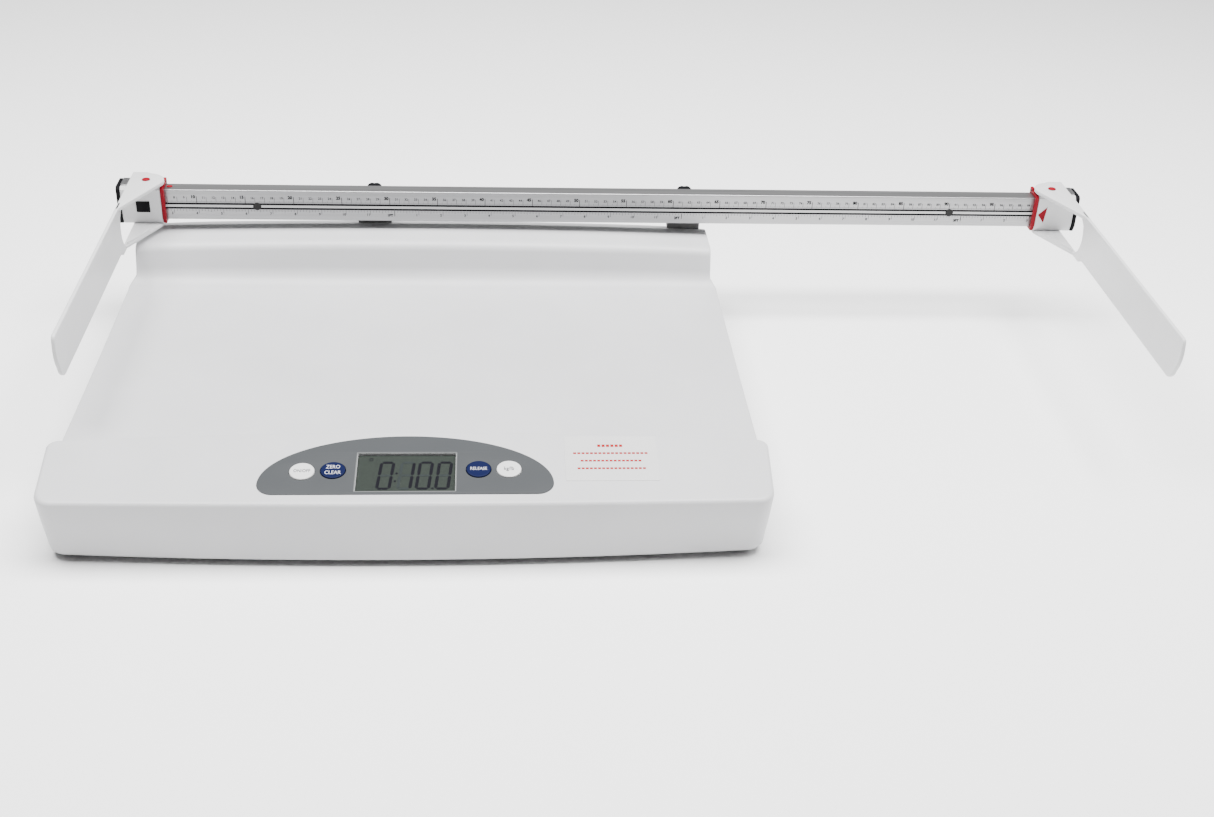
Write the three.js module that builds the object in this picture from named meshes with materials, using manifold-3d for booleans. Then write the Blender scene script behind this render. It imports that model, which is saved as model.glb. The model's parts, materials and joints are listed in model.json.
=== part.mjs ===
// Digital infant tray scale with a length-measuring rod above its back edge.
// Millimetres, +X along the rod, +Y away from the person weighing, +Z up, table at z = 0.
import * as THREE from 'three';
import { mergeVertices } from 'three/addons/utils/BufferGeometryUtils.js';
import Module from 'manifold-3d';

const wasm = await Module();
wasm.setup();

// ---------- driving dimensions ----------
const GAP = 0.3;                      // clearance between touching pieces
const FLAT = Math.PI / 2;

const HEAD_X = 479.7;                 // hinge pins stand at -HEAD_X and +HEAD_X
const CENTRE_SHIFT = 9.4;             // moves the whole scale so that its box is centred on the origin
const ROD = { face: 209, depth: 16, groove: 125, above: 15.4, below: 17.9, half: 497 };
const ROD_TOP = ROD.groove + ROD.above;
const ROD_BASE = ROD.groove - ROD.below;

const SCALE_X = -191;                 // centre plane of tray and console
const TRAY = { half: 306, thick: 3, bed: 55.5, ledge: 97.6, back: 236, front: -172, waist: 6 };
const FOOT = 5;                       // rubber feet lift the housing this far
const BASE = { half: 262, back: 195, wall: 3, rim: 43 };
const CONSOLE = {
  half: 305, front: -253, back: -172,
  crown: 10.5, bow: 3,                // how far the rear and front edges arch out in the middle
  draft: 7, splay: 4.5, rim: 3.5,
};
const DECK_SLOPE = THREE.MathUtils.degToRad(7.3);
const DECK_FRONT_Z = 63;              // height of the deck along its front edge
const SKIN = 2.6;                     // moulded wall thickness

// deck features: [distance right of the tray centre, distance up the sloping deck]
const PANEL = { x: -3.8, low: 9.3, high: 85.3, half: 123.5, thick: 1 };
const WINDOW = { x: -4.5, y: 38, w: 85, h: 51 };
const BUTTONS = [
  ['button_power', -91.3, 38.6, 0xeeeeee], ['button_zero', -65.6, 39.8, 0x23337a],
  ['button_release', 56.4, 40.8, 0x23337a], ['button_units', 82.1, 40.8, 0xeeeeee],
];
const BUTTON_R = 10.5;

// ---------- solids ----------
function toManifold(geometry) {
  geometry.deleteAttribute('normal');
  geometry.deleteAttribute('uv');
  const g = mergeVertices(geometry, 1e-4);
  const triVerts = new Uint32Array(g.index.array);
  const vertProperties = g.attributes.position.array;
  return new wasm.Manifold(new wasm.Mesh({ numProp: 3, vertProperties, triVerts }));
}

function toGeometry(manifold) {
  const m = manifold.getMesh();
  const g = new THREE.BufferGeometry();
  g.setAttribute('position', new THREE.BufferAttribute(m.vertProperties, 3));
  g.setIndex(new THREE.BufferAttribute(m.triVerts, 1));
  g.computeVertexNormals();
  return g;
}

function box(x0, x1, y0, y1, z0, z1) {
  const g = new THREE.BoxGeometry(x1 - x0, y1 - y0, z1 - z0);
  g.translate((x0 + x1) / 2, (y0 + y1) / 2, (z0 + z1) / 2);
  return toManifold(g);
}

// Cylinder between two values along an axis, centred on the other two coordinates.
function rod(axis, r, from, to, a, b, sides = 20, r2 = r) {
  const g = new THREE.CylinderGeometry(r2, r, to - from, sides);
  const mid = (from + to) / 2;
  if (axis === 'z') { g.rotateX(FLAT); g.translate(a, b, mid); }
  if (axis === 'x') { g.rotateZ(-FLAT); g.translate(mid, a, b); }
  if (axis === 'y') { g.translate(a, mid, b); }
  return toManifold(g);
}

function extrude(points, z0, z1) {
  const outline = Array.isArray(points) ? points.map(([x, y]) => new THREE.Vector2(x, y)) : null;
  const shape = outline ? new THREE.Shape(outline) : points;
  const g = new THREE.ExtrudeGeometry(shape, { depth: z1 - z0, bevelEnabled: false, curveSegments: 6 });
  g.translate(0, 0, z0);
  return g;
}
const prismZ = (points, z0, z1) => toManifold(extrude(points, z0, z1));

// Prism along X: points are [y, z].
function prismX(points, x0, x1) {
  const g = extrude(points, x0, x1);
  g.applyMatrix4(new THREE.Matrix4().makeBasis(
    new THREE.Vector3(0, 1, 0), new THREE.Vector3(0, 0, 1), new THREE.Vector3(1, 0, 0)));
  return toManifold(g);
}

// Prism along Y: points are [x, z].
function prismY(points, y0, y1) {
  const g = extrude(points, -y1, -y0);
  g.rotateX(FLAT);
  return toManifold(g);
}

function roundedRect(x0, x1, y0, y1, r) {
  const s = new THREE.Shape();
  s.moveTo(x0 + r, y0);
  s.lineTo(x1 - r, y0);
  s.absarc(x1 - r, y0 + r, r, -FLAT, 0, false);
  s.lineTo(x1, y1 - r);
  s.absarc(x1 - r, y1 - r, r, 0, FLAT, false);
  s.lineTo(x0 + r, y1);
  s.absarc(x0 + r, y1 - r, r, FLAT, Math.PI, false);
  s.lineTo(x0, y0 + r);
  s.absarc(x0 + r, y0 + r, r, Math.PI, 3 * FLAT, false);
  return s;
}

// Closed solid through a stack of rings with equal point counts, capped at both ends.
function loft(rings) {
  const n = rings[0].length;
  const centre = (ring) => [0, 1, 2].map((axis) => ring.reduce((sum, p) => sum + p[axis], 0) / n);
  const points = [...rings.flat(), centre(rings[0]), centre(rings[rings.length - 1])];
  const index = [];
  for (let k = 0; k < rings.length - 1; k++) {
    for (let i = 0; i < n; i++) {
      const a = k * n + i;
      const b = k * n + (i + 1) % n;
      index.push(a, b, b + n, a, b + n, a + n);
    }
  }
  const last = (rings.length - 1) * n;
  const low = rings.length * n;
  for (let i = 0; i < n; i++) {
    const j = (i + 1) % n;
    index.push(low, j, i, low + 1, last + i, last + j);
  }
  const g = new THREE.BufferGeometry();
  g.setAttribute('position', new THREE.Float32BufferAttribute(points.flat(), 3));
  g.setIndex(index);
  return toManifold(g);
}

const matte = (color, roughness = 0.45, metalness = 0) => (
  new THREE.MeshStandardMaterial({ color, roughness, metalness }));
const WHITE = matte(0xdedfe1, 0.35);
const GREY = matte(0x85898c, 0.4);
const BLACK = matte(0x17181a, 0.5);
const RED = matte(0xb92837, 0.35);
const ALUMINIUM = matte(0xc4c5c7, 0.3, 0.9);
const STEEL = matte(0x9b9da0, 0.3, 1);
const RUBBER = matte(0x202122, 0.9);

const scale = new THREE.Group();

function add(name, solid, material, parent = scale) {
  const mesh = new THREE.Mesh(toGeometry(solid), material);
  mesh.name = name;
  parent.add(mesh);
  return mesh;
}

// ---------- tray ----------
function arc(list, y, z, r, a0, a1, steps) {
  for (let i = 0; i <= steps; i++) {
    const a = THREE.MathUtils.degToRad(a0 + (a1 - a0) * i / steps);
    list.push([y + r * Math.cos(a), z + r * Math.sin(a)]);
  }
}

// Upper side of the tray from its back skirt over the ledge and down to the bed: [y, z].
function trayProfile() {
  const p = [[TRAY.back, 82]];
  arc(p, TRAY.back - 5, TRAY.ledge - 5, 5, 0, 90, 3);
  arc(p, 186, TRAY.ledge - 12, 12, 90, 165, 4);
  arc(p, 146.5, TRAY.bed + 24, 24, 345, 270, 5);
  p.push([70, TRAY.bed - 0.8], [-10, TRAY.bed - 1.2], [-90, TRAY.bed - 0.8], [TRAY.front, TRAY.bed]);
  return p;
}

function offset(profile, t) {
  return profile.map(([y, z], i) => {
    const a = profile[Math.max(i - 1, 0)];
    const b = profile[Math.min(i + 1, profile.length - 1)];
    const l = Math.hypot(b[0] - a[0], b[1] - a[1]);
    return [y + t * (b[1] - a[1]) / l, z - t * (b[0] - a[0]) / l];
  });
}

// The ledge is highest in the middle and drops towards its ends.
const ledgeDrop = (u) => 4.8 * u * u;
const ledgeZ = (x) => TRAY.ledge - ledgeDrop((x - SCALE_X) / (TRAY.half - TRAY.waist));

// One cross ring of the tray at u = -1..1; the wall is drawn in by the waist and the ledge curves forward
// towards its ends.
function trayRing(top, bottom, u) {
  const shape = ([y, z]) => {
    const rise = Math.max(0, (z - TRAY.bed) / (TRAY.ledge - TRAY.bed));
    const x = SCALE_X + u * (TRAY.half - TRAY.waist * Math.min(1, 5 * rise));
    const behind = Math.max(0, (y - 150) / (TRAY.back - 150));
    return [x, y - 6 * behind * u ** 10, z - rise * ledgeDrop(u)];
  };
  return [...top.map(shape), ...[...bottom].reverse().map(shape)];
}

function buildTray() {
  const top = trayProfile();
  const bottom = offset(top, -TRAY.thick);
  const stations = [-1, -0.96, -0.85, -0.65, -0.4, -0.15, 0.15, 0.4, 0.65, 0.85, 0.96, 1];
  const rings = stations.map((u) => trayRing(top, bottom, u));
  const n = rings[0].length;
  const m = top.length;
  const index = [];
  for (let k = 0; k < rings.length - 1; k++) {
    for (let i = 0; i < n; i++) {
      const a = k * n + i;
      const b = k * n + (i + 1) % n;
      index.push(a, b, b + n, a, b + n, a + n);
    }
  }
  const last = (rings.length - 1) * n;
  for (let i = 0; i < m - 1; i++) {
    const j = n - 1 - i;
    index.push(i, j, i + 1, i + 1, j, j - 1);
    index.push(last + i, last + i + 1, last + j, last + i + 1, last + j - 1, last + j);
  }
  const g = new THREE.BufferGeometry();
  g.setAttribute('position', new THREE.Float32BufferAttribute(rings.flat(2), 3));
  g.setIndex(index);
  let tray = toManifold(g);
  for (const side of [-1, 1]) {
    const x = SCALE_X + side * (TRAY.half - 1.6);
    tray = tray.add(box(x - 1.5, x + 1.5, TRAY.front + 14, 150, TRAY.bed - 9, TRAY.bed - 2));
  }
  return tray.subtract(consoleSolid(1.2, 0, 200));
}

// ---------- console ----------
const deckZ = (y) => DECK_FRONT_Z + (y - CONSOLE.front) * Math.tan(DECK_SLOPE);

// Plan outline of the console, inset all round; half is its half width at this level.
function consoleRing(inset, half, bow, z) {
  const ring = [];
  const rFront = 14;
  const rBack = 9;
  const w = half - inset;
  const y0 = CONSOLE.front + inset;
  const y1 = CONSOLE.back - inset;
  const span = w - rFront;
  for (let i = 0; i <= 12; i++) {
    const x = -span + 2 * span * i / 12;
    ring.push([x, y0 - bow * (1 - (x / span) ** 2)]);
  }
  for (let i = 1; i <= 4; i++) {
    const a = -FLAT + i * FLAT / 4;
    ring.push([w - rFront + rFront * Math.cos(a), y0 + rFront + rFront * Math.sin(a)]);
  }
  const back = w - rBack;
  for (let i = 0; i < 4; i++) {
    const a = i * FLAT / 4;
    ring.push([back + rBack * Math.cos(a), y1 - rBack + rBack * Math.sin(a)]);
  }
  for (let i = 0; i <= 12; i++) {
    const x = back - 2 * back * i / 12;
    ring.push([x, y1 + CONSOLE.crown * (1 - (x / back) ** 2)]);
  }
  for (let i = 1; i <= 4; i++) {
    const a = FLAT + i * FLAT / 4;
    ring.push([-back + rBack * Math.cos(a), y1 - rBack + rBack * Math.sin(a)]);
  }
  for (let i = 0; i < 4; i++) {
    const a = Math.PI + i * FLAT / 4;
    ring.push([-w + rFront + rFront * Math.cos(a), y0 + rFront + rFront * Math.sin(a)]);
  }
  const spread = (y) => 1 + CONSOLE.splay * (y - y0) / (y1 - y0) / half;
  return ring.map(([x, y]) => [x * spread(y) + SCALE_X, y, z(y)]);
}

// Outer body grown by `grow`, from height `low` up to the deck (or up to `flatTop`).
function consoleSolid(grow, low, flatTop = null) {
  if (flatTop !== null) {
    return loft([low, flatTop].map((z) => consoleRing(-grow, CONSOLE.half, CONSOLE.bow, () => z)));
  }
  const wall = (f, inset, z) => {
    const lean = 1 - f;
    const drawnIn = CONSOLE.draft * lean + inset - grow;
    return consoleRing(drawnIn, CONSOLE.half + 2.5 * lean, CONSOLE.bow + 8 * lean, () => z);
  };
  const r = CONSOLE.rim;
  const level = (below, inset) => (
    consoleRing(inset - grow, CONSOLE.half, CONSOLE.bow, (y) => deckZ(y) + grow - below));
  return loft([
    wall(0, 3, low), wall(0.06, 0, low + 4), wall(0.65, 0, 38),
    level(r, 0), level(0.46 * r, 0.12 * r), level(0.12 * r, 0.46 * r), level(0, r),
  ]);
}

const deck = new THREE.Group();
deck.position.set(SCALE_X, CONSOLE.front, DECK_FRONT_Z);
deck.rotation.x = DECK_SLOPE;
deck.updateMatrix();
scale.add(deck);
const onDeck = (manifold) => {
  const g = toGeometry(manifold);
  g.applyMatrix4(deck.matrix);
  return toManifold(g);
};

// Half ellipse above, two small corner arcs below.
function panelOutline(inset) {
  const { half, low, high, x } = PANEL;
  const waist = low + 14;
  const w = half - inset;
  const r = 14 - inset;
  const points = [];
  for (let i = 0; i <= 24; i++) {
    const a = Math.PI * i / 24;
    points.push([x + w * Math.cos(a), waist + (high - inset - waist) * Math.sin(a)]);
  }
  for (const [side, from] of [[-1, Math.PI], [1, 3 * FLAT]]) {
    for (let i = side < 0 ? 1 : 0; i < (side < 0 ? 5 : 4); i++) {
      const a = from + i * FLAT / 4;
      points.push([x + side * (w - r) + r * Math.cos(a), waist + r * Math.sin(a)]);
    }
  }
  return points;
}

function buildConsole() {
  const bottom = FOOT + 0.5;
  let shell = consoleSolid(0, bottom).subtract(consoleSolid(-SKIN, bottom - 2));
  const reach = BASE.half + 1;
  shell = shell.subtract(box(SCALE_X - reach, SCALE_X + reach, -200, -100, 0, BASE.rim + 1));
  const cut = (m) => { shell = shell.subtract(onDeck(m)); };
  cut(prismZ(panelOutline(-0.4), -0.8, 6));
  const { x, y, w, h } = WINDOW;
  cut(box(x - w / 2 + 1, x + w / 2 - 1, y - h / 2 + 1, y + h / 2 - 1, -9, 6));
  for (const [, bx, by] of BUTTONS) cut(rod('z', BUTTON_R + 0.8, -9, 6, bx, by, 24));
  return shell;
}

function buildPanel() {
  let panel = prismZ(panelOutline(0), -0.5, -0.5 + PANEL.thick);
  const { x, y, w, h } = WINDOW;
  panel = panel.subtract(prismZ(roundedRect(x - w / 2, x + w / 2, y - h / 2, y + h / 2, 2), -3, 3));
  for (const [, bx, by] of BUTTONS) panel = panel.subtract(rod('z', BUTTON_R + 0.5, -3, 3, bx, by, 24));
  return panel;
}

function buildButton(bx, by) {
  const cap = rod('z', BUTTON_R, -4, 1.4, bx, by, 24, BUTTON_R - 0.4);
  return cap.add(rod('z', 4, -9, -4, bx, by, 12));
}

function addDisplay() {
  add('display_panel', buildPanel(), GREY, deck);
  const { x, y, w, h } = WINDOW;
  const frame = (inset, z0, z1) => {
    const dx = w / 2 - inset;
    const dy = h / 2 - inset;
    return box(x - dx, x + dx, y - dy, y + dy, z0, z1);
  };
  add('display_window', frame(1.4, -1.2, 0.2), new THREE.MeshStandardMaterial({
    color: 0xc9d2cc, roughness: 0.08, transparent: true, opacity: 0.3 }), deck);
  add('lcd_module', frame(2.2, -4.6, -1.6), matte(0x9aa49a, 0.3), deck);
  for (const [name, bx, by, color] of BUTTONS) add(name, buildButton(bx, by), matte(color, 0.35), deck);
  const strip = box(x - 104, x + 104, y - 22, y + 22, -14, -12.2);
  const domes = BUTTONS.map(([, bx, by]) => rod('z', 5, -12.4, -10.4, bx, by, 12, 4));
  add('circuit_board', domes.reduce((a, d) => a.add(d), strip), matte(0x2c6b45, 0.6), deck);
}

// ---------- housing under the tray ----------
function buildBase() {
  const z0 = FOOT;
  const inside = z0 + BASE.wall;
  const outline = (inset) => roundedRect(SCALE_X - BASE.half + inset, SCALE_X + BASE.half - inset,
    -165 + inset, BASE.back - inset, 14 - inset);
  const floor = (half, y0, y1) => box(SCALE_X - half, SCALE_X + half, y0, y1, z0 + 0.5, inside - 0.1);
  let base = prismZ(outline(0), z0, BASE.rim).subtract(prismZ(outline(BASE.wall), inside, 90));
  base = base.add(floor(BASE.half - 30, -190, -163.5)).add(floor(CONSOLE.half - 32, -239, -188));
  base = base.subtract(box(SCALE_X - 200, SCALE_X + 200, -168, -160, inside + 4, BASE.rim - 6));
  const door = BATTERY_DOOR;
  base = base.subtract(box(door.x - door.w / 2 - 0.5, door.x + door.w / 2 + 9, door.y - door.h / 2 - 0.5,
    door.y + door.h / 2 + 0.5, 0, 20));
  return base.subtract(rod('y', 4.3, BASE.back - 10, BASE.back + 5, JACK.x, JACK.z, 16));
}

const BATTERY_DOOR = { x: -330, y: 20, w: 120, h: 66 };
const JACK = { x: -20, z: 22 };
const CELL = { r: 7.1, length: 50.5 };

function addBatteries() {
  const { x, y, w, h } = BATTERY_DOOR;
  add('battery_door', box(x - w / 2, x + w / 2, y - h / 2, y + h / 2, FOOT + 0.2, FOOT + 2.6), WHITE);
  let holder = box(x - 60, x + 66, y - 39, y + 39, FOOT + 3.3, FOOT + 24);
  holder = holder.subtract(box(x - 56, x + 56, y - 32, y + 32, 0, FOOT + 21));
  add('battery_holder', holder, BLACK);
  for (let i = 0; i < 4; i++) {
    const yc = y - 23.4 + 15.6 * i;
    const body = rod('x', CELL.r, x - 26, x - 26 + CELL.length, yc, FOOT + 12, 14);
    const nub = rod('x', 2.7, x - 26 + CELL.length - 0.5, x - 25 + CELL.length + 1, yc, FOOT + 12, 10);
    add(`battery_${i + 1}`, body.add(nub), matte(0x2f4a6e, 0.4, 0.5));
  }
}

function addWeighing() {
  const x = SCALE_X;
  add('load_cell_foot', box(x - 20, x + 20, -55, -15, FOOT + BASE.wall + GAP, 12), ALUMINIUM);
  let cell = box(x - 14, x + 14, -55, 85, 12 + GAP, 32);
  cell = cell.subtract(rod('x', 7, x - 20, x + 20, 5, 22, 14).add(rod('x', 7, x - 20, x + 20, 25, 22, 14))
    .add(box(x - 20, x + 20, 5, 25, 19, 25)));
  add('load_cell', cell, ALUMINIUM);
  add('load_cell_cap', box(x - 20, x + 20, 45, 85, 32 + GAP, 36), ALUMINIUM);
  const arm = (y0, y1) => prismZ([
    [x - 215, y0 - 11], [x - 190, y0 - 11], [x, y1 - 14], [x + 190, y0 - 11], [x + 215, y0 - 11],
    [x + 215, y0 + 11], [x + 190, y0 + 11], [x, y1 + 14], [x - 190, y0 + 11], [x - 215, y0 + 11],
  ], 36 + GAP, 40);
  const spider = arm(-110, 30).add(arm(145, 60)).add(box(x - 30, x + 30, 20, 90, 36 + GAP, 40));
  add('tray_spider', spider, STEEL);
  let n = 0;
  for (const [px, py] of [[-200, -110], [200, -110], [-200, 145], [200, 145]]) {
    n += 1;
    const floor = py > 0 ? TRAY.bed - 3.8 : TRAY.bed - 4.4;
    add(`tray_pad_${n}`, rod('z', 9, 40 + GAP, floor, x + px, py, 14), RUBBER);
  }
}

function addFeet() {
  let n = 0;
  for (const [px, py] of [[-245, -215], [245, -215], [-235, 170], [235, 170]]) {
    n += 1;
    const foot = rod('z', 10, 0, FOOT - GAP, SCALE_X + px, py, 18, 11);
    add(`foot_${n}`, foot, RUBBER);
  }
}

// ---------- measuring rod ----------
function rodSection(grow) {
  const y0 = ROD.face - grow;
  const y1 = ROD.face + ROD.depth + grow;
  const z0 = ROD_BASE - grow;
  const z1 = ROD_TOP + grow;
  return [[y0, z0], [y1, z0], [y1, z1], [y0, z1]];
}

const LINE_PITCH = 4.8;               // spacing of the two narrow grooves in the face
const SLOT = { z: 129, throat: 6.4, wide: 11, lip: 2, deep: 6 };

function buildRod() {
  const end = ROD.half;
  let body = prismX(rodSection(0), -end, end);
  for (const z of [ROD.groove, ROD.groove - LINE_PITCH]) {
    body = body.subtract(box(-end - 1, end + 1, ROD.face - 1, ROD.face + 0.8, z - 0.5, z + 0.5));
  }
  const back = ROD.face + ROD.depth;
  const slot = (half, y0, y1) => box(-end - 1, end + 1, y0, y1, SLOT.z - half, SLOT.z + half);
  body = body.subtract(slot(SLOT.throat / 2, back - SLOT.lip - 1, back + 1));
  body = body.subtract(slot(SLOT.wide / 2, back - SLOT.lip - SLOT.deep, back - SLOT.lip));
  const wall = 1.8;
  const hollow = (z0, z1) => box(-end - 1, end + 1, ROD.face + wall, back - wall, z0, z1);
  body = body.subtract(hollow(ROD_BASE + wall, SLOT.z - SLOT.wide / 2 - wall));
  body = body.subtract(hollow(SLOT.z + SLOT.wide / 2 + wall, ROD_TOP - wall));
  for (const x of PLUGS) {
    body = body.subtract(rod('y', 3.9, ROD.face - 1, ROD.face + 3.2, x, PLUG_Z, 16));
  }
  return body;
}

const PLUG_Z = ROD.groove - LINE_PITCH / 2;
const PLUGS = [-HEAD_X + 111.5, HEAD_X - 109];
const MOUNTS = [-247.5, 84];
const KNOB_R = 10.5;
const BRACKET_W = 35;

function addRod() {
  add('rod_profile', buildRod(), ALUMINIUM);
  for (const [tag, s] of [['left', -1], ['right', 1]]) {
    const a = s * (ROD.half + GAP);
    const b = s * (ROD.half + 3.5);
    add(`rod_end_cap_${tag}`, prismX(rodSection(0), Math.min(a, b), Math.max(a, b)), BLACK);
    const x = PLUGS[s < 0 ? 0 : 1];
    add(`groove_plug_${tag}`, rod('y', 3.6, ROD.face + 0.1, ROD.face + 2.8, x, PLUG_Z, 16), RUBBER);
  }
}

// Angle bracket that carries the rod on the tray ledge, with its thumb knob and slot nut.
function addRodMount(tag, x) {
  const back = ROD.face + ROD.depth + GAP;
  const half = BRACKET_W / 2;
  const underside = [1, 0.6, 0.2, -0.2, -0.6, -1].map((f) => [x + f * half, ledgeZ(x + f * half) + GAP]);
  const footTop = Math.max(underside[0][1], underside[5][1]) + 2.5;
  let bracket = prismY([...underside, [x - half, footTop], [x + half, footTop]], back, back + 9);
  bracket = bracket.add(box(x - half, x + half, back, back + 3, footTop - 1, ROD_TOP - 6));
  bracket = bracket.subtract(rod('y', 3.2, back - 2, back + 6, x, SLOT.z, 16));
  add(`rod_bracket_${tag}`, bracket, GREY);
  const knobBack = back + 3 + 3 * GAP;
  let knob = rod('y', KNOB_R, knobBack, knobBack + 9, x, SLOT.z, 24, KNOB_R - 1.2);
  for (let i = 0; i < 6; i++) {
    const a = i * Math.PI / 3;
    knob = knob.subtract(rod('y', 2, knobBack - 1, knobBack + 10,
      x + (KNOB_R + 0.8) * Math.cos(a), SLOT.z + (KNOB_R + 0.8) * Math.sin(a), 10));
  }
  add(`clamp_knob_${tag}`, knob.add(rod('y', 2.5, back - 8, knobBack + 1, x, SLOT.z, 14)), BLACK);
  const inner = ROD.face + ROD.depth - SLOT.lip;
  const nut = box(x - 8, x + 8, inner - 4, inner - GAP, SLOT.z - 5, SLOT.z + 5);
  add(`slot_nut_${tag}`, nut.subtract(rod('y', 2.8, inner - 6, inner + 2, x, SLOT.z, 14)), STEEL);
}

// ---------- heads ----------
// Both heads are drawn as the left one, with its hinge pin at x = 0; the right one is the mirror image.
const HEAD = { inner: 13.7, outer: 27, front: 4.5, back: 3, below: 3.6, above: 3.6, fit: 0.4 };
const PIN = { y: ROD.face + 1, r: 2.2, cap: 4.2 };
const PLATE = { top: 150.8, thick: 4, low: 100, lowThick: 3.2 };
const BLADE = { out: 17, thick: 3.6, tip: -129, low: 105 };

function mirrored(manifold) {
  const g = toGeometry(manifold);
  g.scale(-1, 1, 1);
  const i = g.index.array;
  for (let k = 0; k < i.length; k += 3) [i[k], i[k + 1]] = [i[k + 1], i[k]];
  return toManifold(g);
}

// Section of the sleeve round the rod, open behind so that it passes the rod's brackets: [y, z].
function sleeveSection(grow) {
  const y0 = ROD.face - HEAD.front - grow;
  const y1 = ROD.face + ROD.depth + HEAD.back;
  const z0 = ROD_BASE - HEAD.below;
  const z1 = ROD_TOP + HEAD.above + grow;
  const inY = ROD.face - HEAD.fit;
  const lipY = ROD.face + ROD.depth + HEAD.fit;
  return [
    [y0, z0 + 7], [y0 + 3, z0], [ROD.face + 13, z0], [ROD.face + 13, ROD_BASE - HEAD.fit],
    [inY, ROD_BASE - HEAD.fit], [inY, ROD_TOP + HEAD.fit], [lipY, ROD_TOP + HEAD.fit], [lipY, ROD_TOP - 3],
    [y1, ROD_TOP - 3], [y1, z1], [y0 + 2.5, z1], [y0, z1 - 2.5],
  ];
}

function buildCarriage() {
  const top = ROD_TOP + HEAD.above;
  let c = prismX(sleeveSection(0), -HEAD.outer, HEAD.inner);
  c = c.add(rod('z', 9, top - 1, PLATE.top - PLATE.thick - GAP, 0, PIN.y, 20));
  c = c.subtract(rod('z', PIN.r + GAP, top + GAP, PLATE.top, 0, PIN.y, 14));
  return c.add(rod('z', PIN.r, PLATE.low, ROD_BASE - HEAD.below + 1, 0, PIN.y, 14));
}

function buildTrim() {
  const x0 = HEAD.inner + GAP;
  const trim = prismX(sleeveSection(0.5), x0, x0 + 3.3);
  const y1 = ROD.face + ROD.depth + HEAD.back;
  return trim.add(box(x0, x0 + 3.3, y1 - 7, y1, ROD_TOP + 2, ROD_TOP + HEAD.above + 2.2));
}

const buildRim = () => prismX(sleeveSection(0.8), -HEAD.outer - 4, -HEAD.outer - GAP);

function buildGrip() {
  const z = ROD_TOP + HEAD.above + GAP;
  const y1 = ROD.face + ROD.depth + HEAD.back - 1;
  let grip = box(-HEAD.outer + 0.5, -17, ROD.face + 1, y1, z, z + 1.6);
  for (let y = ROD.face + 3; y < y1 - 1; y += 3) {
    grip = grip.subtract(box(-40, -10, y, y + 1.2, z + 0.9, z + 3));
  }
  return grip;
}

// Fork plate: round over the pin, straight along the blade's plane, diagonal in front: [x, y].
function forkOutline(reach, round, behind) {
  const p = [[-BLADE.out, PIN.y - reach - 8], [-BLADE.out + BLADE.thick, PIN.y - reach]];
  for (let i = 0; i <= 6; i++) {
    const a = THREE.MathUtils.degToRad(-28 + i * 18);
    p.push([round * Math.cos(a), PIN.y + round * Math.sin(a)]);
  }
  p.push([-2, PIN.y + behind], [-BLADE.out, PIN.y + behind]);
  return p;
}

function buildPaddle() {
  const { top, thick, low, lowThick } = PLATE;
  const root = 150;
  const blade = prismX([
    [root, top], [BLADE.tip, top], [BLADE.tip - 3, top - 4], [BLADE.tip - 4.5, top - 14],
    [BLADE.tip - 2, top - 28], [BLADE.tip + 5, BLADE.low + 5], [BLADE.tip + 14, BLADE.low + 0.6],
    [BLADE.tip + 22, BLADE.low],
    [root - 24, BLADE.low], [root - 14, low], [root, low], [root, low + lowThick], [root - 9, low + 11],
    [root - 14, low + 25], [root - 11, low + 39], [root, top - thick],
  ], -BLADE.out, -BLADE.out + BLADE.thick);
  let p = blade.add(prismZ(forkOutline(72, 18, 21), top - thick, top))
    .add(prismZ(forkOutline(58, 13, 13.5), low, low + lowThick));
  p = p.add(prismZ([[-14, 158], [-14, 153], [3, 186], [3, 190], [-1, 190]], low + 1, low + lowThick + 2.8));
  return p.subtract(rod('z', PIN.r + GAP, low - 1, top + 1, 0, PIN.y, 14));
}

function buildPin() {
  const top = ROD_TOP + HEAD.above;
  return rod('z', PIN.r, top + 2 * GAP, PLATE.top + 2 * GAP, 0, PIN.y, 14)
    .add(rod('z', PIN.cap, PLATE.top + GAP, PLATE.top + 1.3, 0, PIN.y, 20, PIN.cap - 0.4));
}

const SQUARE = { x: -5, w: 14, z: 123, h: 12 };
const frontRecess = (m) => m.subtract(box(SQUARE.x - SQUARE.w / 2 - GAP, SQUARE.x + SQUARE.w / 2 + GAP,
  0, ROD.face - HEAD.front + 1.2, SQUARE.z - SQUARE.h / 2 - GAP, SQUARE.z + SQUARE.h / 2 + GAP));

function addHead(tag, side) {
  const head = new THREE.Group();
  head.position.x = side * HEAD_X;
  scale.add(head);
  const hand = side < 0 ? (m) => m : mirrored;
  const carriage = side < 0 ? frontRecess(buildCarriage()) : buildCarriage();
  add(`carriage_${tag}`, hand(carriage), WHITE, head);
  add(`trim_${tag}`, hand(buildTrim()), RED, head);
  add(`end_rim_${tag}`, hand(buildRim()), BLACK, head);
  add(`grip_${tag}`, hand(buildGrip()), ALUMINIUM, head);
  add(`paddle_${tag}`, hand(buildPaddle()), WHITE, head);
  add(`hinge_pin_${tag}`, hand(buildPin()), RED, head);
  const y = ROD.face - HEAD.front;
  if (side < 0) {
    const { x, w, z, h } = SQUARE;
    add('lock_cover', box(x - w / 2, x + w / 2, y - 0.3, y + 1, z - h / 2, z + h / 2), BLACK, head);
  } else {
    const arrow = extrude([[-12, 123], [-5, 114], [-3, 132]], 0, 0.8);
    arrow.rotateX(FLAT);
    arrow.translate(0, y - GAP, 0);
    add('reading_pointer', toManifold(arrow), RED, head);
  }
}

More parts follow.
